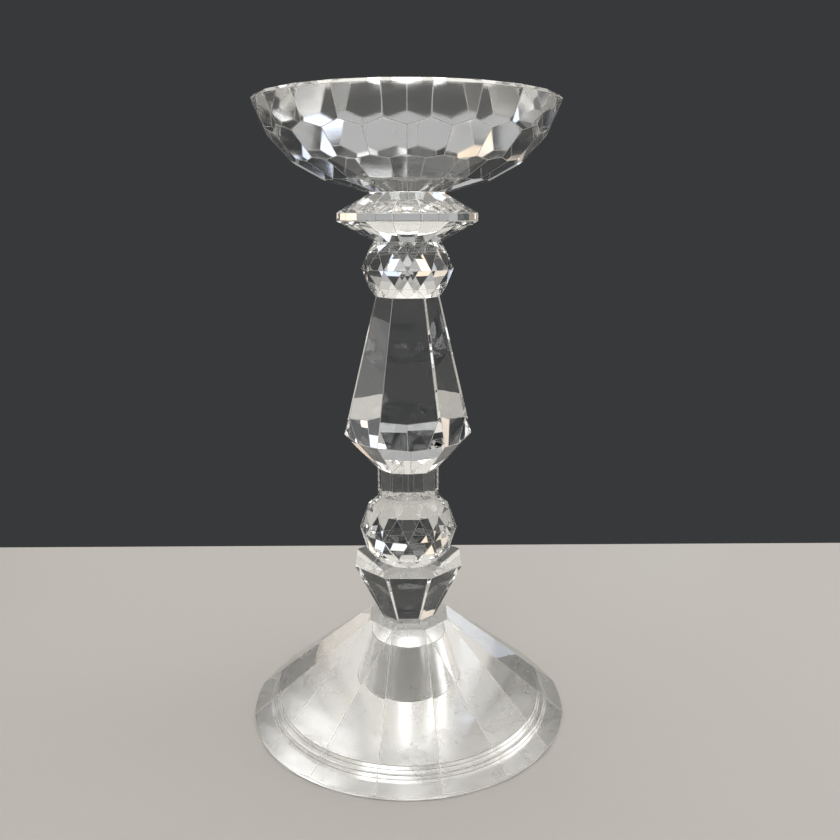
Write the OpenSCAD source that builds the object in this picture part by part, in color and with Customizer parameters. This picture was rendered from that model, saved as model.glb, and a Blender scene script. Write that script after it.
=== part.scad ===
// Cut-glass candlestick: a stack of ground and polished glass pieces, bonded face to face.
// Origin: centre of the foot's underside, on the table. +Z runs up the stem.
// Azimuth 0 faces -Y and azimuths turn towards +X, so the front flat of each piece faces -Y.

/* [Foot] */
// Radius of the round rim of the foot
foot_r = 81.5; // [76:0.5:90]
// Height of the foot, up to the flat that carries the stem
foot_h = 51.4; // [46:0.2:58]
// Height of the corners where two flats meet the rim
foot_rim_h = 2; // [1.6:0.1:3]
// Corner radius of the eight-sided flat on top of the foot
foot_top_r = 21.6; // [20:0.1:23]
// Angle that each wide flat spans at the rim
foot_flat_angle = 21.5; // [18:0.5:30]
// Radius of the lower step of the hollow underside
recess_step_r = 68.5; // [67:0.5:71]
// Height of the lower step of the hollow underside
recess_step_h = 2.5; // [1.5:0.5:3]
// Radius of the upper step of the hollow underside
recess_r = 65; // [60:0.5:66.5]
// Height of the ceiling of the hollow underside
recess_h = 5; // [4:0.5:7]
// Radius of the blind well at its mouth
well_mouth_r = 18.5; // [16:0.5:22]
// Radius of the blind well at its top
well_top_r = 15.5; // [13:0.5:16]
// Height of the top of the blind well
well_top_h = 37; // [25:0.5:39]

/* [Stem cup] */
// Height of the eight-sided cup on the foot
cup_h = 31; // [27:0.5:36]
// Corner radius of the top of the cup
cup_top_r = 29.2; // [26:0.2:32]
// Corner radius of the bottom of the cup
cup_bottom_r = 14; // [12:0.2:16]

/* [Faceted balls] */
// Widest radius of the lower ball
lower_ball_r = 24.7; // [23:0.1:26]
// Height of the lower ball between its two flats
lower_ball_h = 33.4; // [31:0.2:35]
// Corner radius of the flats of the lower ball
lower_ball_flat_r = 15.2; // [14:0.1:16]
// Widest radius of the upper ball
upper_ball_r = 22; // [20.5:0.1:23]
// Height of the upper ball between its two flats
upper_ball_h = 25.5; // [24:0.2:28]
// Corner radius of the flats of the upper ball
upper_ball_flat_r = 15.9; // [15:0.1:16.4]

/* [Neck collar] */
// Height of the straight collar between ball and column
neck_h = 15.6; // [12:0.2:20]
// Corner radius of the twelve-sided collar
neck_r = 15.3; // [14:0.1:16]

/* [Tapered column] */
// Height of the whole column
column_h = 84.8; // [78:0.2:92]
// Height of the widest corners above the column's base
girdle_h = 16.6; // [14:0.2:20]
// Corner radius at the widest level
girdle_r = 31.7; // [29:0.1:34]
// How far the middle of each side dips below the widest corners
girdle_dip = 1.8; // [1:0.1:2.4]
// Corner radius of the six-sided top
column_top_r = 15.4; // [14:0.1:16.4]
// Turn of the column about the stem
column_turn = 3; // [0:1:10]

/* [Disc knop] */
// Height of the disc under the dish
disc_h = 22; // [19:0.2:25]
// Height of the disc's upright edge band
disc_band_h = 3.7; // [2.5:0.1:5]
// Corner radius of the disc's edge
disc_r = 33.4; // [31:0.1:36]
// Corner radius of the disc's upper flat
disc_top_r = 17.2; // [16:0.1:18]
// Corner radius of the disc's lower flat
disc_bottom_r = 16.3; // [16:0.1:18]

/* [Dish] */
// Height of the solid dish that carries the candle
dish_h = 40.6; // [38:0.2:44]
// Radius of the dish at the middle of a facet, before its rim is bevelled
dish_r = 70.5; // [70:0.5:75]
// Width and height of the bevel round the rim
rim_bevel = 1.5; // [0.5:0.1:3]
// Number of facets in each row of the honeycomb cut
dish_facets = 22; // [20:2:26]

/* [Bonding] */
// Thickness of each film of cured adhesive
bond_t = 0.1; // [0.05:0.01:0.2]

/* [Hidden] */

glass = [0.86, 0.92, 0.90, 0.45];
bond = [0.95, 0.97, 0.90, 0.60];

$fn = 96;
over = 1;

// Numbers of sides
oct = 8;
hexa = 6;
dodeca = 12;
disc_sides = 16;

// Levels along the stem, each piece standing on the film below it
cup_z = foot_h + bond_t;
lower_ball_z = cup_z + cup_h + bond_t;
neck_z = lower_ball_z + lower_ball_h + bond_t;
column_z = neck_z + neck_h + bond_t;
upper_ball_z = column_z + column_h + bond_t;
disc_z = upper_ball_z + upper_ball_h + bond_t;
dish_z = disc_z + disc_h + bond_t;

// Ball facets: how far out and up the second row of corners lies
ball_row_r = 0.855;
ball_row_h = 0.66;

// Honeycomb cut: angle of each row from the upright, and where it starts as a share of the dish's height
cut_angles = [24, 43, 61.5, 75.3];
cut_levels = [1, 0.626, 0.32, 0.13];

// A ring of n corners at radius r and height z, the first one at azimuth turn
function ring(n, r, z, turn = 0) =
    [for (i = [0:n - 1]) let (a = turn + i * 360 / n) [r * sin(a), -r * cos(a), z]];

// Corner radius of a regular n-sided outline whose sides lie at distance a
function corner(a, n) = a / cos(180 / n);

// Middle radius of row i of the honeycomb cut at its upper border
function cut_r(i) = i == 0 ? dish_r
    : cut_r(i - 1) - tan(cut_angles[i - 1]) * (cut_levels[i - 1] - cut_levels[i]) * dish_h;

// The convex glass body whose corners are the given points
module cut_body(points)
    hull() polyhedron(points, [for (i = [1:len(points) - 2]) [0, i, i + 1]]);

// An n-sided tapered body with a flat facing azimuth turn: side distances a0 at z0 and a1 at z1
module taper(n, a0, z0, a1, z1, turn = 0)
    cut_body(concat(ring(n, corner(a0, n), z0, turn + 180 / n),
                    ring(n, corner(a1, n), z1, turn + 180 / n)));

// A film of adhesive with n sides, on level z
module film(n, r, z, turn = 0)
    color(bond) translate([0, 0, z]) rotate(turn - 90) cylinder(h = bond_t, r = r, $fn = n);

// A ball of triangular facets between two flats
module faceted_ball(r, h, flat_r, z) {
    half = h / 2;
    mid = z + half;
    step = 180 / dodeca;
    color(glass) cut_body(concat(
        ring(dodeca, flat_r, z),
        ring(dodeca, r * ball_row_r, mid - half * ball_row_h, step),
        ring(dodeca, r, mid),
        ring(dodeca, r * ball_row_r, mid + half * ball_row_h, step),
        ring(dodeca, flat_r, z + h)));
}

// Round hollow under the foot: two shallow steps and a blind well
module foot_hollow()
    rotate_extrude() polygon([
        [0, -over], [recess_step_r, -over], [recess_step_r, recess_step_h],
        [recess_r, recess_step_h], [recess_r, recess_h], [well_mouth_r, recess_h],
        [well_top_r, well_top_h], [0, well_top_h]]);

// Eight wide flats run from the top to the rim, and eight narrow triangular
// flats start at the corners of the top and widen towards the rim
module foot() {
    rise = foot_h - foot_rim_h;
    wide_top = foot_top_r * cos(180 / oct);
    wide_slope = (foot_r * cos(foot_flat_angle / 2) - wide_top) / rise;
    narrow_slope = (foot_r * cos(180 / oct - foot_flat_angle / 2) - foot_top_r) / rise;
    color(glass) difference() {
        intersection() {
            cylinder(h = foot_h, r = foot_r);
            taper(oct, wide_top + wide_slope * foot_h, 0, wide_top, foot_h);
            taper(oct, foot_top_r + narrow_slope * foot_h, 0, foot_top_r, foot_h, 180 / oct);
        }
        foot_hollow();
    }
}

module stem_cup()
    color(glass) cut_body(concat(
        ring(oct, cup_bottom_r, cup_z, 180 / oct),
        ring(oct, cup_top_r, cup_z + cup_h, 180 / oct)));

module lower_ball()
    faceted_ball(lower_ball_r, lower_ball_h, lower_ball_flat_r, lower_ball_z);

module neck_collar()
    color(glass) translate([0, 0, neck_z]) rotate(-90) cylinder(h = neck_h, r = neck_r, $fn = dodeca);

// Six tall flats above, twelve flats below, meeting at a slightly zigzag girdle
module tapered_column() {
    turn = column_turn - 180 / hexa;
    widest_z = column_z + girdle_h;
    side_top = column_top_r * cos(180 / hexa);
    side_low = girdle_r * cos(180 / hexa);
    side_slope = (side_low - side_top) / (column_h - girdle_h);
    mid_r = side_low + side_slope * girdle_dip;
    // The lower flats pass through a corner, the middle of a side and the neck's outline
    mid_slope = (girdle_h - girdle_dip) / (mid_r - neck_r);
    cross_slope = (side_slope * girdle_dip * mid_slope + girdle_dip) / (girdle_r / 2);
    ridge_slope = mid_slope * cos(180 / hexa) + cross_slope / 2;
    ridge_r = girdle_r - girdle_h / ridge_slope;
    color(glass) cut_body(concat(
        ring(hexa, neck_r, column_z, column_turn),
        ring(hexa, ridge_r, column_z, turn),
        ring(hexa, mid_r, widest_z - girdle_dip, column_turn),
        ring(hexa, girdle_r, widest_z, turn),
        ring(hexa, column_top_r, column_z + column_h, turn)));
}

module upper_ball()
    faceted_ball(upper_ball_r, upper_ball_h, upper_ball_flat_r, upper_ball_z);

module disc_knop() {
    mid = disc_z + disc_h / 2;
    turn = 180 / disc_sides;
    color(glass) cut_body(concat(
        ring(disc_sides, disc_bottom_r, disc_z, turn),
        ring(disc_sides, disc_r, mid - disc_band_h / 2, turn),
        ring(disc_sides, disc_r, mid + disc_band_h / 2, turn),
        ring(disc_sides, disc_top_r, disc_z + disc_h, turn)));
}

// Four rows of flats, each row turned by half a step from the one above, under a
// level top whose edge is bevelled at 45 degrees
module candle_dish() {
    flat_r = cut_r(0) - (1 + tan(cut_angles[0])) * rim_bevel;
    color(glass) intersection() {
        intersection_for (i = [0:len(cut_angles) - 1]) {
            slope = tan(cut_angles[i]);
            above = (1 - cut_levels[i]) * dish_h;
            below = cut_levels[i] * dish_h;
            taper(dish_facets, cut_r(i) - slope * below, dish_z,
                  cut_r(i) + slope * above, dish_z + dish_h, i * 180 / dish_facets);
        }
        taper(dish_facets, flat_r + dish_h, dish_z, flat_r, dish_z + dish_h);
    }
}

module bond_foot() film(oct, cup_bottom_r, foot_h, 180 / oct);
module bond_cup() film(dodeca, lower_ball_flat_r, cup_z + cup_h);
module bond_lower_ball() film(dodeca, lower_ball_flat_r, lower_ball_z + lower_ball_h);
module bond_neck() film(dodeca, neck_r, neck_z + neck_h);
module bond_column() film(hexa, column_top_r, column_z + column_h, column_turn - 180 / hexa);
module bond_upper_ball() film(dodeca, upper_ball_flat_r, upper_ball_z + upper_ball_h);

// The round film inside the disc's many-sided upper flat
module bond_disc() film($fn, disc_top_r * cos(180 / disc_sides), disc_z + disc_h);

foot();
bond_foot();
stem_cup();
bond_cup();
lower_ball();
bond_lower_ball();
neck_collar();
bond_neck();
tapered_column();
bond_column();
upper_ball();
bond_upper_ball();
disc_knop();
bond_disc();
candle_dish();
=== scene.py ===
import bpy
import numpy as np
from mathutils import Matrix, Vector


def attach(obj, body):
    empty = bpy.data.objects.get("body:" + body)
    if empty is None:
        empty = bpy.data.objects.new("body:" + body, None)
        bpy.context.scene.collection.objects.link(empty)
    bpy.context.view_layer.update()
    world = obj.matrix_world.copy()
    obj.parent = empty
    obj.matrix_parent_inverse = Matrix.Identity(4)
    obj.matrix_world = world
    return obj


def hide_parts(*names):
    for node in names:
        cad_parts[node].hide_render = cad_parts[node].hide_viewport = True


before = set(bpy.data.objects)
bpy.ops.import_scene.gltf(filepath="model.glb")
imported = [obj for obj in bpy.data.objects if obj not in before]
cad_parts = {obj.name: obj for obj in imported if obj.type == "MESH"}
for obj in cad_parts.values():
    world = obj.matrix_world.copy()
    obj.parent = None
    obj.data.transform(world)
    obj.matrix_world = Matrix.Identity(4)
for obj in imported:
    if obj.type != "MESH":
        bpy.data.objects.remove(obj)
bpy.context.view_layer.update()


# ---------------------------------------------------------------- foot
# The spreading round foot: one pressed blank of clear optical glass, hollowed below in two shallow
# steps and a blind well. Its top is ground into eight wide and eight narrow flats and polished.

# Lengths of the glass are in millimetres, and angles in degrees.
FOOT_R = 81.5
FOOT_H = 51.4
FOOT_TOP_R = 21.6
RIM_H = 2.0
EIGHTH = 45.0
WIDE_SPAN = 21.5
WIDE_STEPS = 10
NARROW_STEPS = 8
HOLLOW = [(68.5, 0.0), (68.5, 2.5), (65.0, 2.5), (65.0, 5.0), (18.5, 5.0), (15.5, 37.0)]
CUP_BOTTOM_R = 14.0
ARRIS = 0.18
FLAT_BEND = 2.0
CURVE_BEND = 25.0
GLASS_IOR = 1.517


def corners_at(azimuths, radius, height):
    """Corners in mm at these azimuths in degrees: (r sin a, -r cos a, z). radius and height are single
    numbers, or one number a corner."""
    a = np.radians(azimuths)
    return np.column_stack((radius * np.sin(a), -radius * np.cos(a), height * np.ones(len(a))))


def ring(count, radius, height, turn=0.0):
    """Corners evenly round the stem: the first at azimuth turn, and each next one a full turn / count on."""
    return corners_at(turn + 360.0 * np.arange(count) / count, radius, height)


def round_band(low, high):
    """Four-sided faces between two rings of equal count: corner i and i + 1 below, i + 1 and i above."""
    return np.column_stack((low, np.roll(low, -1), np.roll(high, -1), high)).tolist()


def flat_with_hole(outer, inner):
    """A level face with a hole in it, facing up, as two halves: half of the outer ring one way, and the same
    half of the inner ring back."""
    outer, inner = list(outer), list(inner)
    m, n = len(outer) // 2, len(inner) // 2
    return [outer[:m + 1] + inner[n::-1], outer[m:] + outer[:1] + inner[:1] + inner[:n - 1:-1]]


def turned_over(faces):
    """The same faces, looking the other way."""
    return [face[::-1] for face in faces]


def glass_piece(name, corners, flats, curved=(), bonded=(), finish=(), arris=ARRIS):
    """A closed mesh in metres from corners in mm. flats are ground flats, curved are faces of one smooth
    curve, and bonded are the faces that the adhesive wets, which carry the second material. The third
    goes on a narrow arris along each edge where two faces differ in direction by over FLAT_BEND degrees,
    or, inside a curve, by CURVE_BEND degrees or more."""
    faces = [*flats, *curved, *bonded]
    mesh = bpy.data.meshes.new(name)
    mesh.from_pydata(np.asarray(corners) * 0.001, [], faces)
    count = len(faces)
    smooth = np.zeros(count, bool)
    smooth[len(flats):len(flats) + len(curved)] = True
    slots = np.zeros(count, np.int32)
    slots[len(flats) + len(curved):] = 1
    mesh.polygons.foreach_set("use_smooth", smooth)
    mesh.polygons.foreach_set("material_index", slots)
    for material in finish:
        mesh.materials.append(material)
    sides = np.zeros(count, np.int32)
    mesh.polygons.foreach_get("loop_total", sides)
    normals = np.zeros(count * 3)
    mesh.polygons.foreach_get("normal", normals)
    normals = normals.reshape(-1, 3)
    edge_of = np.zeros(len(mesh.loops), np.int32)
    mesh.loops.foreach_get("edge_index", edge_of)
    face_of = np.repeat(np.arange(count), sides)
    first = np.full(len(mesh.edges), count)
    last = np.full(len(mesh.edges), -1)
    np.minimum.at(first, edge_of, face_of)
    np.maximum.at(last, edge_of, face_of)
    bend = np.degrees(np.arccos(np.clip((normals[first] * normals[last]).sum(1), -1, 1)))
    sharp = (bend > FLAT_BEND) & ~(smooth[first] & smooth[last] & (bend < CURVE_BEND))
    weight = mesh.attributes.new("bevel_weight_edge", "FLOAT", "EDGE")
    weight.data.foreach_set("value", sharp.astype(np.float32))
    mesh.update()
    piece = bpy.data.objects.new(name, mesh)
    bpy.context.scene.collection.objects.link(piece)
    bevel = piece.modifiers.new("arris", "BEVEL")
    bevel.limit_method = "WEIGHT"
    bevel.width = arris * 0.001
    bevel.segments = 1
    bevel.material = 2
    bevel.harden_normals = True
    return piece


def linear(hex_colour):
    """An sRGB hex colour as linear RGBA: ((c + 0.055) / 1.055) to the power 2.4, or c / 12.92 near black."""
    c = np.array([int(hex_colour[i:i + 2], 16) for i in (1, 3, 5)]) / 255.0
    c = np.where(c > 0.04045, ((c + 0.055) / 1.055) ** 2.4, c / 12.92)
    return (*c.tolist(), 1.0)


def node(tree, kind, inputs=None, **settings):
    """Adds a node. settings are its properties. Each input is a value, or another node's output to link."""
    made = tree.nodes.new(kind)
    for name, value in settings.items():
        setattr(made, name, value)
    for name, value in (inputs or {}).items():
        if isinstance(value, bpy.types.NodeSocket):
            tree.links.new(value, made.inputs[name])
        else:
            made.inputs[name].default_value = value
    return made


def empty_material(name):
    """A material with no nodes yet, and its node tree."""
    material = bpy.data.materials.new(name)
    material.use_nodes = True
    material.node_tree.nodes.clear()
    return material, material.node_tree


# Optical glass, ground flat and polished: water-clear with a mirror gloss. A slow wave left by the
# polishing lap, about 9 mm long, makes reflections swim a little, and faint handling marks dull it.
cut_glass, tree = empty_material("polished_optical_glass")
place = node(tree, "ShaderNodeTexCoord").outputs["Object"]
lap_wave = node(tree, "ShaderNodeTexNoise", {"Vector": place, "Scale": 110.0, "Detail": 1.0})
handling = node(tree, "ShaderNodeTexNoise", {
    "Vector": place, "Scale": 45.0, "Detail": 5.0, "Roughness": 0.65})
dulling = node(tree, "ShaderNodeMapRange", {
    "Value": handling.outputs["Fac"], "From Min": 0.5, "From Max": 0.75, "To Min": 0.0, "To Max": 0.04})
swim = node(tree, "ShaderNodeBump", {
    "Height": lap_wave.outputs["Fac"], "Strength": 1.0, "Distance": 0.00001})
glass = node(tree, "ShaderNodeBsdfPrincipled", {
    "Base Color": linear("#FDFEFE"), "Roughness": dulling.outputs["Result"], "IOR": GLASS_IOR,
    "Transmission Weight": 1.0, "Normal": swim.outputs["Normal"]})
node(tree, "ShaderNodeOutputMaterial", {"Surface": glass.outputs["BSDF"]})

# Glass wetted by the adhesive: the bond has the index of the glass, so light passes the joint as if
# the two pieces were one, and no surface shows.
wetted_glass, tree = empty_material("wetted_bond_face")
clear = node(tree, "ShaderNodeBsdfTransparent", {"Color": linear("#FFFFFF")})
node(tree, "ShaderNodeOutputMaterial", {"Surface": clear.outputs["BSDF"]})

# The arris: each sharp edge is dulled on a fine stone, so it stays silky and catches light from all
# round as a thin pale line. The stone's grain is drawn at half a millimetre, coarser than it is.
stoned_edge, tree = empty_material("stoned_glass_arris")
place = node(tree, "ShaderNodeTexCoord").outputs["Object"]
grain = node(tree, "ShaderNodeTexNoise", {"Vector": place, "Scale": 2000.0, "Detail": 2.0})
silky = node(tree, "ShaderNodeMapRange", {
    "Value": grain.outputs["Fac"], "From Min": 0.3, "From Max": 0.7, "To Min": 0.35, "To Max": 0.6})
edge = node(tree, "ShaderNodeBsdfPrincipled", {
    "Base Color": linear("#F8F7F1"), "Roughness": silky.outputs["Result"], "IOR": GLASS_IOR,
    "Transmission Weight": 0.55})
node(tree, "ShaderNodeOutputMaterial", {"Surface": edge.outputs["BSDF"]})


def dulled_glass(name, cloud_scale, low, high, ripple_scale, ripple_depth):
    """Clear glass with cloudy patches, where the roughness goes from low to high, and a rippled skin."""
    material, tree = empty_material(name)
    place = node(tree, "ShaderNodeTexCoord").outputs["Object"]
    cloud = node(tree, "ShaderNodeTexNoise", {
        "Vector": place, "Scale": cloud_scale, "Detail": 6.0, "Roughness": 0.7})
    haze = node(tree, "ShaderNodeMapRange", {
        "Value": cloud.outputs["Fac"], "From Min": 0.35, "From Max": 0.65, "To Min": low, "To Max": high})
    ripple = node(tree, "ShaderNodeTexNoise", {"Vector": place, "Scale": ripple_scale, "Detail": 2.0})
    skin = node(tree, "ShaderNodeBump", {
        "Height": ripple.outputs["Fac"], "Strength": 1.0, "Distance": ripple_depth})
    dulled = node(tree, "ShaderNodeBsdfPrincipled", {
        "Base Color": linear("#FCFDFD"), "Roughness": haze.outputs["Result"], "IOR": GLASS_IOR,
        "Transmission Weight": 1.0, "Normal": skin.outputs["Normal"]})
    node(tree, "ShaderNodeOutputMaterial", {"Surface": dulled.outputs["BSDF"]})
    return material


# The underside of the foot, hollow and standing ring alike, is left satin from its grinding, with ripples
# about 6 mm long, so what it mirrors turns into a soft glow.
satin_under = dulled_glass("satin_glass_underside", 60.0, 0.17, 0.30, 160.0, 0.000015)

glass_finish = (cut_glass, wetted_glass, stoned_edge)


def foot_rim(azimuth):
    """Height at which the flats meet the round rim. Each flat moves outwards by its own slope for every
    millimetre it falls, so its height is the top's less (its distance at the rim - its distance at the
    top) / slope. Where a wide and a narrow flat overlap, the lower one is the surface."""
    rise = FOOT_H - RIM_H
    wide_top = FOOT_TOP_R * np.cos(np.radians(EIGHTH / 2))
    wide_slope = (FOOT_R * np.cos(np.radians(WIDE_SPAN / 2)) - wide_top) / rise
    narrow_slope = (FOOT_R * np.cos(np.radians((EIGHTH - WIDE_SPAN) / 2)) - FOOT_TOP_R) / rise
    off_wide = np.radians((azimuth + EIGHTH / 2) % EIGHTH - EIGHTH / 2)
    off_narrow = np.radians(azimuth % EIGHTH - EIGHTH / 2)
    wide = FOOT_H - (FOOT_R * np.cos(off_wide) - wide_top) / wide_slope
    narrow = FOOT_H - (FOOT_R * np.cos(off_narrow) - FOOT_TOP_R) / narrow_slope
    return np.minimum(wide, narrow)


def dull_from(mesh, first_corner):
    """Gives the fourth material to each face whose corners are all numbered first_corner or more: the lowest
    corner number of a face tells."""
    corner_of = np.zeros(len(mesh.loops), np.int32)
    mesh.loops.foreach_get("vertex_index", corner_of)
    start = np.zeros(len(mesh.polygons), np.int32)
    mesh.polygons.foreach_get("loop_start", start)
    slots = np.zeros(len(mesh.polygons), np.int32)
    mesh.polygons.foreach_get("material_index", slots)
    slots[np.minimum.reduceat(corner_of, start) >= first_corner] = 3
    mesh.polygons.foreach_set("material_index", slots)


# Corners: the eight-sided top, the outline of the cup on it, the rim, the base below it, and the rings
# of the hollow, from its mouth to the top of the well. The rim has the same steps in each eighth of a
# turn: those along a wide flat, and then those along the narrow flat beside it.
arc_steps = np.concatenate((
    WIDE_SPAN * (np.arange(WIDE_STEPS) / WIDE_STEPS - 0.5),
    WIDE_SPAN / 2 + (EIGHTH - WIDE_SPAN) * np.arange(NARROW_STEPS) / NARROW_STEPS))
rim_azimuths = (EIGHTH * np.arange(8)[:, None] + arc_steps).ravel()
rim_count = len(rim_azimuths)
foot_corners = np.vstack((
    ring(8, FOOT_TOP_R, FOOT_H, EIGHTH / 2),
    ring(8, CUP_BOTTOM_R, FOOT_H, EIGHTH / 2),
    corners_at(rim_azimuths, FOOT_R, foot_rim(rim_azimuths)),
    corners_at(rim_azimuths, FOOT_R, 0.0),
    *[corners_at(rim_azimuths, r, z) for r, z in HOLLOW]))
top, contact = np.arange(8), np.arange(8, 16)
rim, base, step_low, step_high, ceiling_low, ceiling_high, well_mouth, well_top = (
    16 + rim_count * np.arange(8)[:, None] + np.arange(rim_count))
arc = len(arc_steps) * np.arange(8)[:, None]
wide_arcs = rim[arc + np.arange(WIDE_STEPS + 1)]
narrow_arcs = rim[(arc + np.arange(WIDE_STEPS, len(arc_steps) + 1)) % rim_count]
wide_flats = np.column_stack((wide_arcs, top, np.roll(top, 1)))
narrow_flats = np.column_stack((narrow_arcs, top))
foot = glass_piece(
    "foot_glass", foot_corners,
    flats=[*wide_flats.tolist(), *narrow_flats.tolist(), *flat_with_hole(top, contact),
           *round_band(step_low, base), *round_band(ceiling_low, step_high),
           *round_band(well_mouth, ceiling_high), well_top[::-1].tolist()],
    curved=[*round_band(base, rim), *turned_over(round_band(step_low, step_high)),
            *turned_over(round_band(ceiling_low, ceiling_high)),
            *turned_over(round_band(well_mouth, well_top))],
    bonded=[contact.tolist()],
    finish=(*glass_finish, satin_under))
dull_from(foot.data, base[0])
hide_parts("foot")
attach(foot, "root")


# ---------------------------------------------------------------- stem cup
# The eight-sided cup that widens upwards: one ground block, with its flats in line with the foot's.
# Its small end is bonded to the foot, and the lower ball is bonded to the middle of its wide end.

BOND = 0.1
CUP_H = 31.0
CUP_TOP_R = 29.2
LOWER_BALL_FLAT_R = 15.2


def bonded_above(level, height):
    """The two end levels of a piece bonded above a level: a film higher, and the piece's height on."""
    return level + BOND, level + BOND + height


cup_z = bonded_above(FOOT_H, CUP_H)
cup_corners = np.vstack((
    ring(8, CUP_BOTTOM_R, cup_z[0], EIGHTH / 2),
    ring(8, CUP_TOP_R, cup_z[1], EIGHTH / 2),
    ring(12, LOWER_BALL_FLAT_R, cup_z[1])))
low, high, contact = np.arange(8), np.arange(8, 16), np.arange(16, 28)
stem_cup = glass_piece(
    "stem_cup_glass", cup_corners,
    flats=[*round_band(low, high), *flat_with_hole(high, contact)],
    bonded=[low[::-1].tolist(), contact.tolist()],
    finish=glass_finish)
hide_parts("stem_cup")
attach(stem_cup, "root")


# ---------------------------------------------------------------- faceted balls
# The two balls of the stem: blanks ground into twelve-fold rows of triangular flats, with a flat left
# at each end for the bond. The lower one is taller, and the upper one carries the disc.

LOWER_BALL_R = 24.7
LOWER_BALL_H = 33.4
UPPER_BALL_R = 22.0
UPPER_BALL_H = 25.5
UPPER_BALL_FLAT_R = 15.9
BALL_ROW_R = 0.855
BALL_ROW_H = 0.66
FINE_ARRIS = 0.07
NECK_H = 15.6
COLUMN_H = 84.8
COLUMN_TOP_R = 15.4
COLUMN_TURN = 3.0


def leaning_band(low, high, lead):
    """Three-sided faces between two rings of equal count that are half a step apart. lead tells whether
    the upper ring starts half a step on, and not half a step back."""
    low_next, high_next = np.roll(low, -1), np.roll(high, -1)
    if lead:
        pairs = np.column_stack((low, low_next, high)), np.column_stack((high, low_next, high_next))
    else:
        pairs = np.column_stack((low, low_next, high_next)), np.column_stack((high, low, high_next))
    return np.vstack(pairs).tolist()


def faceted_ball(name, radius, flat_r, z_low, z_high, seat=None):
    """Five rings of twelve corners: the end flats, the widest ring halfway up, and on each side of it a
    ring at BALL_ROW_H of the half height and BALL_ROW_R of the radius, turned by half a step. seat is the
    outline of a smaller piece bonded to the lower flat, if there is one."""
    half = (z_high - z_low) / 2
    middle = z_low + half
    corners = [
        ring(12, flat_r, z_low),
        ring(12, radius * BALL_ROW_R, middle - half * BALL_ROW_H, 15.0),
        ring(12, radius, middle),
        ring(12, radius * BALL_ROW_R, middle + half * BALL_ROW_H, 15.0),
        ring(12, flat_r, z_high)]
    rows = 12 * np.arange(5)[:, None] + np.arange(12)
    flats = [
        *leaning_band(rows[0], rows[1], True), *leaning_band(rows[1], rows[2], False),
        *leaning_band(rows[2], rows[3], True), *leaning_band(rows[3], rows[4], False)]
    if seat is None:
        lower_flat = rows[0]
    else:
        corners.append(seat)
        lower_flat = rows.size + np.arange(len(seat))
        flats += turned_over(flat_with_hole(rows[0], lower_flat))
    return glass_piece(
        name, np.vstack(corners), flats=flats, bonded=[lower_flat[::-1].tolist(), rows[4].tolist()],
        finish=glass_finish, arris=FINE_ARRIS)


lower_ball_z = bonded_above(cup_z[1], LOWER_BALL_H)
lower_ball = faceted_ball("lower_ball_glass", LOWER_BALL_R, LOWER_BALL_FLAT_R, *lower_ball_z)
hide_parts("lower_ball")
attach(lower_ball, "root")

# The column's outline on the upper ball starts at a corner half a step of 60 degrees before its turn.
neck_z = bonded_above(lower_ball_z[1], NECK_H)
column_z = bonded_above(neck_z[1], COLUMN_H)
upper_ball_z = bonded_above(column_z[1], UPPER_BALL_H)
column_azimuth = COLUMN_TURN - 30.0
upper_ball = faceted_ball(
    "upper_ball_glass", UPPER_BALL_R, UPPER_BALL_FLAT_R, *upper_ball_z,
    seat=ring(6, COLUMN_TOP_R, upper_ball_z[0], column_azimuth))
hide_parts("upper_ball")
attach(upper_ball, "root")


# ---------------------------------------------------------------- neck collar
# The straight twelve-sided collar between the lower ball and the column: a ground glass prism, bonded
# at both ends.

NECK_R = 15.3

neck_corners = np.vstack((ring(12, NECK_R, neck_z[0]), ring(12, NECK_R, neck_z[1])))
low, high = np.arange(12), np.arange(12, 24)
neck_collar = glass_piece(
    "neck_collar_glass", neck_corners, flats=round_band(low, high),
    bonded=[low[::-1].tolist(), high.tolist()], finish=glass_finish, arris=FINE_ARRIS)
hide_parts("neck_collar")
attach(neck_collar, "root")


# ---------------------------------------------------------------- tapered column
# The long six-sided column, widest at a slightly zigzag girdle near its base: six tall flats above it
# and twelve short ones below, all ground on one block of glass and bonded at both ends.

GIRDLE_H = 16.6
GIRDLE_R = 31.7
GIRDLE_DIP = 1.8


def column_outline():
    """Radius of the middle of a side at the girdle, and of the base's outer corners. A tall flat runs from
    the top's side to the girdle's and on down by the dip. A short flat goes through the neck's outline,
    the middle of a side and a girdle corner, and two of them meet in a ridge that reaches the base at the
    outer corner."""
    side_top, side_low = COLUMN_TOP_R * np.cos(np.pi / 6), GIRDLE_R * np.cos(np.pi / 6)
    side_slope = (side_low - side_top) / (COLUMN_H - GIRDLE_H)
    middle_r = side_low + side_slope * GIRDLE_DIP
    middle_slope = (GIRDLE_H - GIRDLE_DIP) / (middle_r - NECK_R)
    cross_slope = (side_slope * GIRDLE_DIP * middle_slope + GIRDLE_DIP) / (GIRDLE_R / 2)
    ridge_slope = middle_slope * np.cos(np.pi / 6) + cross_slope / 2
    return middle_r, GIRDLE_R - GIRDLE_H / ridge_slope


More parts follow.
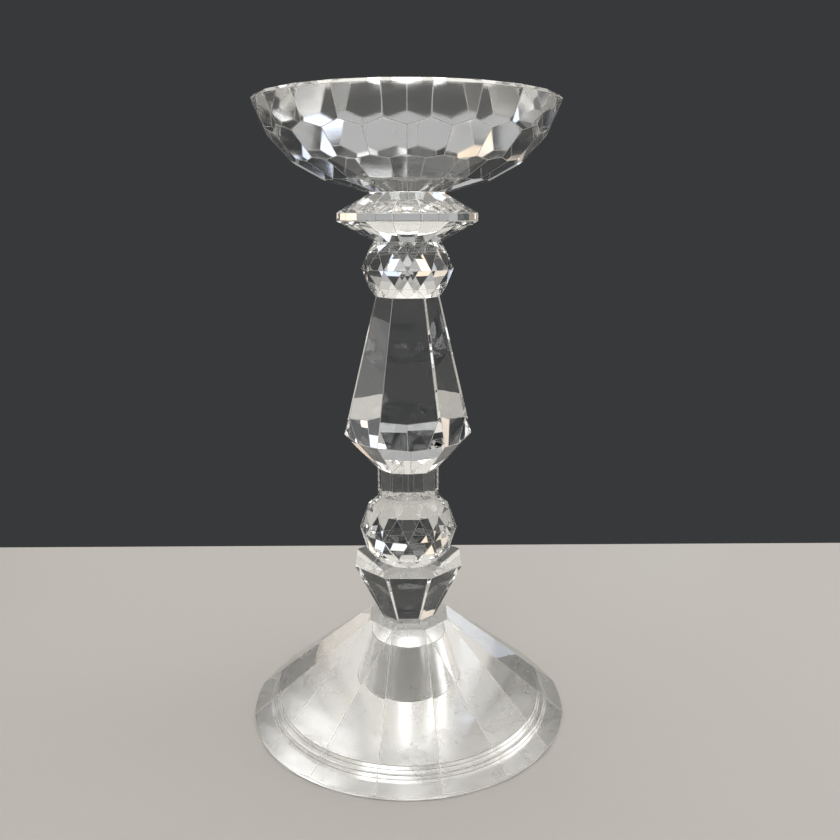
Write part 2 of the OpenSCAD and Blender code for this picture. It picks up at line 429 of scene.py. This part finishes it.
side_middle_r, ridge_r = column_outline()
girdle_radii = np.tile([GIRDLE_R, side_middle_r], 6)
girdle_heights = column_z[0] + GIRDLE_H - np.tile([0.0, GIRDLE_DIP], 6)
column_corners = np.vstack((
    ring(12, np.tile([ridge_r, NECK_R], 6), column_z[0], column_azimuth),
    ring(12, girdle_radii, girdle_heights, column_azimuth),
    ring(6, COLUMN_TOP_R, column_z[1], column_azimuth)))
base, girdle, top = np.arange(12), np.arange(12, 24), np.arange(24, 30)
tall_flats = np.column_stack((
    girdle[::2], girdle[1::2], np.roll(girdle[::2], -1), np.roll(top, -1), top))
tapered_column = glass_piece(
    "tapered_column_glass", column_corners, flats=[*round_band(base, girdle), *tall_flats.tolist()],
    bonded=[base[::-1].tolist(), top.tolist()], finish=glass_finish)
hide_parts("tapered_column")
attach(tapered_column, "root")


# ---------------------------------------------------------------- disc knop
# The sixteen-sided disc under the dish, bevelled above and below to a narrow upright edge: a ground
# glass block, bonded to the upper ball and to the dish.

DISC_R = 33.4
DISC_LOW_R = 16.3
DISC_TOP_R = 17.2
DISC_H = 22.0
DISC_EDGE_H = 3.7

disc_z = bonded_above(upper_ball_z[1], DISC_H)
disc_bevel_h = (DISC_H - DISC_EDGE_H) / 2
disc_turn = 360.0 / 16 / 2
disc_corners = np.vstack((
    ring(16, DISC_LOW_R, disc_z[0], disc_turn),
    ring(16, DISC_R, disc_z[0] + disc_bevel_h, disc_turn),
    ring(16, DISC_R, disc_z[1] - disc_bevel_h, disc_turn),
    ring(16, DISC_TOP_R, disc_z[1], disc_turn)))
rows = 16 * np.arange(4)[:, None] + np.arange(16)
disc_knop = glass_piece(
    "disc_knop_glass", disc_corners,
    flats=[*round_band(rows[0], rows[1]), *round_band(rows[1], rows[2]), *round_band(rows[2], rows[3])],
    bonded=[rows[0][::-1].tolist(), rows[3].tolist()], finish=glass_finish)
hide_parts("disc_knop")
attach(disc_knop, "root")


# ---------------------------------------------------------------- candle dish
# The solid dish that carries the candle: a thick glass blank cut underneath into four rows of flats in a
# honeycomb, with a level polished top and a bevelled rim. Its small underside is bonded to the disc.

DISH_H = 40.6
DISH_R = 70.5
RIM_BEVEL = 1.5
DISH_FACETS = 22
CUT_ANGLES = np.radians([24.0, 43.0, 61.5, 75.3])
CUT_LEVELS = np.array([1.0, 0.626, 0.32, 0.13])

# The rows from the rim down: CUT_ANGLES are their angles from upright, and CUT_LEVELS the levels, as
# parts of the height, where each one takes over. row_r is a row's distance there, and reach is where
# its flats would cross the level of the underside.
half_step = 180.0 / DISH_FACETS
spread = np.cos(np.radians(half_step))
slopes = np.tan(CUT_ANGLES)
tops = CUT_LEVELS * DISH_H
row_r = DISH_R - np.concatenate(([0.0], np.cumsum(slopes[:-1] * -np.diff(tops))))
reach = row_r - slopes * tops


def border(row, at_side):
    """Where the flats of a row meet those of the row below, as (radius, height). At the middle of an upper
    flat the upper row's distance equals the lower row's corner radius, which is its distance / cos(half a
    step). At its side the lower row's distance equals the upper row's corner radius."""
    up, down = (spread, 1.0) if at_side else (1.0, spread)
    height = (reach[row + 1] / down - reach[row] / up) / (slopes[row] / up - slopes[row + 1] / down)
    if at_side:
        return reach[row + 1] + slopes[row + 1] * height, height
    return reach[row] + slopes[row] * height, height


def back(corners):
    """The same ring of corners, each number standing for the one before it."""
    return np.roll(corners, 1)


# Corners from the top down: the level top, the bevel's lower edge, three zigzag borders with a corner at
# each side and each middle, and the underside.
bevel_low_r = DISH_R - slopes[0] * RIM_BEVEL
dish_corners = [
    ring(DISH_FACETS, (bevel_low_r - RIM_BEVEL) / spread, DISH_H, half_step),
    ring(DISH_FACETS, bevel_low_r / spread, DISH_H - RIM_BEVEL, half_step)]
for row in range(3):
    dish_corners.append(ring(DISH_FACETS, *border(row, True), half_step * (row + 1)))
    dish_corners.append(ring(DISH_FACETS, *border(row, False), half_step * row))
dish_corners.append(ring(DISH_FACETS, reach[3] / spread, 0.0, half_step * 4))
dish_rows = DISH_FACETS * np.arange(9)[:, None] + np.arange(DISH_FACETS)
dish_top, bevel_low, under = dish_rows[0], dish_rows[1], dish_rows[8]
sides, middles = dish_rows[2:8:2], dish_rows[3:8:2]
first_row = np.column_stack((bevel_low, back(bevel_low), back(sides[0]), middles[0], sides[0]))
second_row, third_row = [
    np.column_stack((
        np.roll(middles[i], -1), sides[i], middles[i], back(sides[i + 1]), middles[i + 1], sides[i + 1]))
    for i in range(2)]
last_row = np.column_stack((np.roll(middles[2], -1), sides[2], middles[2], back(under), under))

# The top is polished too, but candles and cloths have scuffed it, which softens what it mirrors down.
scuffed_top = dulled_glass("scuffed_glass_top", 30.0, 0.03, 0.09, 110.0, 0.00001)

candle_dish = glass_piece(
    "candle_dish_glass", np.vstack(dish_corners) + [0.0, 0.0, disc_z[1] + BOND],
    flats=[dish_top.tolist(), *round_band(bevel_low, dish_top), *first_row.tolist(),
           *second_row.tolist(), *third_row.tolist(), *last_row.tolist()],
    bonded=[under[::-1].tolist()], finish=(*glass_finish, scuffed_top))
candle_dish.data.polygons[0].material_index = 3
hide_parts("candle_dish")
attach(candle_dish, "root")


# ---------------------------------------------------------------- adhesive films
# Seven films of clear adhesive, a tenth of a millimetre thick, poured between the polished ends and
# cured by light. Only their edges can be seen, as a hairline round each joint.

FILM_INSET = 0.002

# Cured acrylic adhesive: clear with a trace of straw colour, satin where the squeezed-out edge was
# wiped off before it set, with a grain of about half a millimetre.
cured_edge, tree = empty_material("cured_acrylic_adhesive")
place = node(tree, "ShaderNodeTexCoord").outputs["Object"]
wiped = node(tree, "ShaderNodeTexNoise", {"Vector": place, "Scale": 1800.0, "Detail": 3.0})
satin = node(tree, "ShaderNodeMapRange", {
    "Value": wiped.outputs["Fac"], "From Min": 0.3, "From Max": 0.7, "To Min": 0.05, "To Max": 0.14})
adhesive = node(tree, "ShaderNodeBsdfPrincipled", {
    "Base Color": linear("#FBF9F0"), "Roughness": satin.outputs["Result"], "IOR": 1.5,
    "Transmission Weight": 1.0})
node(tree, "ShaderNodeOutputMaterial", {"Surface": adhesive.outputs["BSDF"]})


def adhesive_film(name, sides, radius, z, turn=0.0):
    """A thin prism that fills the joint above level z, drawn in by two thousandths of a millimetre at each
    face, so that it and the glass don't lie in the same plane."""
    corners = np.vstack((
        ring(sides, radius, z + FILM_INSET, turn), ring(sides, radius, z + BOND - FILM_INSET, turn)))
    low, high = np.arange(sides), np.arange(sides, 2 * sides)
    film = glass_piece(
        name + "_film", corners, flats=round_band(low, high), bonded=[low[::-1].tolist(), high.tolist()],
        finish=(cured_edge, wetted_glass))
    film.modifiers.clear()
    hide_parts(name)
    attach(film, "root")


adhesive_film("bond_foot", 8, CUP_BOTTOM_R, FOOT_H, EIGHTH / 2)
adhesive_film("bond_cup", 12, LOWER_BALL_FLAT_R, cup_z[1])
adhesive_film("bond_lower_ball", 12, LOWER_BALL_FLAT_R, lower_ball_z[1])
adhesive_film("bond_neck", 12, NECK_R, neck_z[1])
adhesive_film("bond_column", 6, COLUMN_TOP_R, column_z[1], column_azimuth)
adhesive_film("bond_upper_ball", 12, UPPER_BALL_FLAT_R, upper_ball_z[1])

# The disc and the dish differ in their number of sides, so their film is the round one that fits inside
# the disc's top flat.
adhesive_film("bond_disc", 96, DISC_TOP_R * np.cos(np.radians(disc_turn)), disc_z[1])


# ---------------------------------------------------------------- stage
# A plain pale table top under the piece, soft boxes above and all round it, the room, and the camera.
# None of it belongs to the piece.

# Lengths of the stage are in metres.
TABLE_X = 0.90
TABLE_Y = (-0.75, 0.22)
TABLE_THICK = 0.0118
TABLE_GAP = 0.0002
UPPER_STEM = (0.0, 0.0, 0.27)

# Matt pale laminate: even and soft, with a fine pebble of about a millimetre that breaks up the sheen.
laminate, tree = empty_material("pale_matt_laminate")
place = node(tree, "ShaderNodeTexCoord").outputs["Object"]
pebble = node(tree, "ShaderNodeTexNoise", {"Vector": place, "Scale": 900.0, "Detail": 2.0})
relief = node(tree, "ShaderNodeBump", {
    "Height": pebble.outputs["Fac"], "Strength": 0.3, "Distance": 0.0001})
top_coat = node(tree, "ShaderNodeBsdfPrincipled", {
    "Base Color": linear("#B0AEAB"), "Roughness": 0.55, "Normal": relief.outputs["Normal"]})
node(tree, "ShaderNodeOutputMaterial", {"Surface": top_coat.outputs["BSDF"]})

# The table top ends a hair below the foot, so that the two don't lie in the same plane.
table_y_low, table_y_high = TABLE_Y
level = np.array([
    [-TABLE_X, table_y_low, -TABLE_GAP], [TABLE_X, table_y_low, -TABLE_GAP],
    [TABLE_X, table_y_high, -TABLE_GAP], [-TABLE_X, table_y_high, -TABLE_GAP]])
table_corners = np.vstack((level - [0.0, 0.0, TABLE_THICK], level))
low, high = np.arange(4), np.arange(4, 8)
table_mesh = bpy.data.meshes.new("studio_floor")
table_mesh.from_pydata(table_corners, [], [*round_band(low, high), low[::-1].tolist(), high.tolist()])
table_mesh.materials.append(laminate)
table = bpy.data.objects.new("studio_floor", table_mesh)
bpy.context.scene.collection.objects.link(table)


def soft_box(name, place, aim, width, height, glow, tint="#FFFFFF"):
    """A rectangular soft light at place, facing aim, hidden from the camera itself. glow is its
    brightness, so the power is pi x area x glow."""
    data = bpy.data.lights.new(name, "AREA")
    data.shape = "RECTANGLE"
    data.size = width
    data.size_y = height
    data.energy = np.pi * width * height * glow
    data.color = linear(tint)[:3]
    lamp = bpy.data.objects.new(name, data)
    bpy.context.scene.collection.objects.link(lamp)
    away = Vector(place) - Vector(aim)
    lamp.location = place
    lamp.rotation_euler = away.to_track_quat("Z", "Y").to_euler()
    lamp.visible_camera = False


soft_box("soft_box_above", (0.0, 0.15, 1.05), (0.0, 0.0, 0.1), 0.9, 0.7, 2.0)
soft_box("soft_box_right", (0.85, 0.15, 0.5), (0.0, 0.0, 0.18), 0.5, 0.9, 1.1)
soft_box("soft_box_front", (-0.25, -1.0, 0.9), (0.0, 0.0, 0.12), 0.8, 0.6, 2.0)

# Small boxes behind the piece, at uneven places and in slightly warm and cool whites. They show only in
# the glass, which bends and mirrors them, so that each flat has its own light and dark patches.
for name, place, width, height, glow, tint in (
        ("strip_behind", (0.0, 0.75, 0.225), 0.70, 0.09, 0.40, "#FFFFFF"),
        ("strip_left_low", (-0.42, 0.62, 0.10), 0.16, 0.16, 0.9, "#FFEEDC"),
        ("strip_left_high", (-0.30, 0.70, 0.33), 0.10, 0.10, 1.6, "#DDE9FF"),
        ("strip_right_low", (0.36, 0.66, 0.06), 0.12, 0.20, 1.4, "#E3ECFF"),
        ("strip_right_high", (0.52, 0.52, 0.30), 0.14, 0.12, 1.6, "#FFE9D2"),
        ("patch_left", (-0.19, 0.74, 0.14), 0.10, 0.12, 1.1, "#FFE9CF"),
        ("patch_middle", (0.10, 0.76, 0.08), 0.12, 0.07, 1.0, "#FFFFFF"),
        ("patch_right", (0.22, 0.72, 0.21), 0.08, 0.10, 1.2, "#DCE8FF"),
        ("strip_far_left", (-0.72, 0.30, 0.18), 0.12, 0.20, 1.0, "#FFFFFF"),
        ("strip_far_right", (0.75, 0.22, 0.14), 0.12, 0.24, 1.5, "#FFFFFF")):
    soft_box(name, place, UPPER_STEM, width, height, glow, tint)

# The room: dark felt all round up to about 14 degrees above the horizon, and a lit ceiling of stretched
# cream cloth above 26 degrees.
studio = bpy.data.worlds.new("studio_room")
studio.use_nodes = True
studio.node_tree.nodes.clear()
bpy.context.scene.world = studio
tree = studio.node_tree
way = node(tree, "ShaderNodeSeparateXYZ", {
    "Vector": node(tree, "ShaderNodeTexCoord").outputs["Generated"]})
climb = node(tree, "ShaderNodeMapRange", {
    "Value": way.outputs["Z"], "From Min": 0.24, "From Max": 0.44, "To Min": 0.0, "To Max": 1.0},
    interpolation_type="SMOOTHSTEP")
cloth = node(tree, "ShaderNodeMix", {
    "Factor": climb.outputs["Result"], "A": linear("#38393A"), "B": linear("#E8E4DC")}, data_type="RGBA")
room = node(tree, "ShaderNodeBackground", {"Color": cloth.outputs["Result"], "Strength": 1.0})
node(tree, "ShaderNodeOutputWorld", {"Surface": room.outputs["Background"]})

# The camera stands in front of the stem, a little below the dish, and looks down and a touch to the
# right. The lens and the sensor are in millimetres.
CAMERA_BACK = 0.410885
CAMERA_UP = 0.25524
LOOK_DOWN = 13.678
LOOK_RIGHT = 0.83
LENS = 36.5
SENSOR = 36.0
camera_data = bpy.data.cameras.new("camera")
camera_data.sensor_width = SENSOR
camera_data.lens = LENS
camera_data.clip_start = 0.01
camera = bpy.data.objects.new("camera", camera_data)
bpy.context.scene.collection.objects.link(camera)
camera.location = (0.0, -CAMERA_BACK, CAMERA_UP)
camera.rotation_euler = np.radians([90.0 - LOOK_DOWN, 0.0, -LOOK_RIGHT])
bpy.context.scene.camera = camera

# The Standard view shows each brightness as it is, so the glints stay as hard as they are on real glass.
bpy.context.scene.view_settings.view_transform = "Standard"

# Light crosses many polished faces and joints before it leaves a stack of glass like this one.
bpy.context.scene.cycles.max_bounces = 32
bpy.context.scene.cycles.transmission_bounces = 32
bpy.context.scene.cycles.glossy_bounces = 16
bpy.context.scene.cycles.transparent_max_bounces = 96
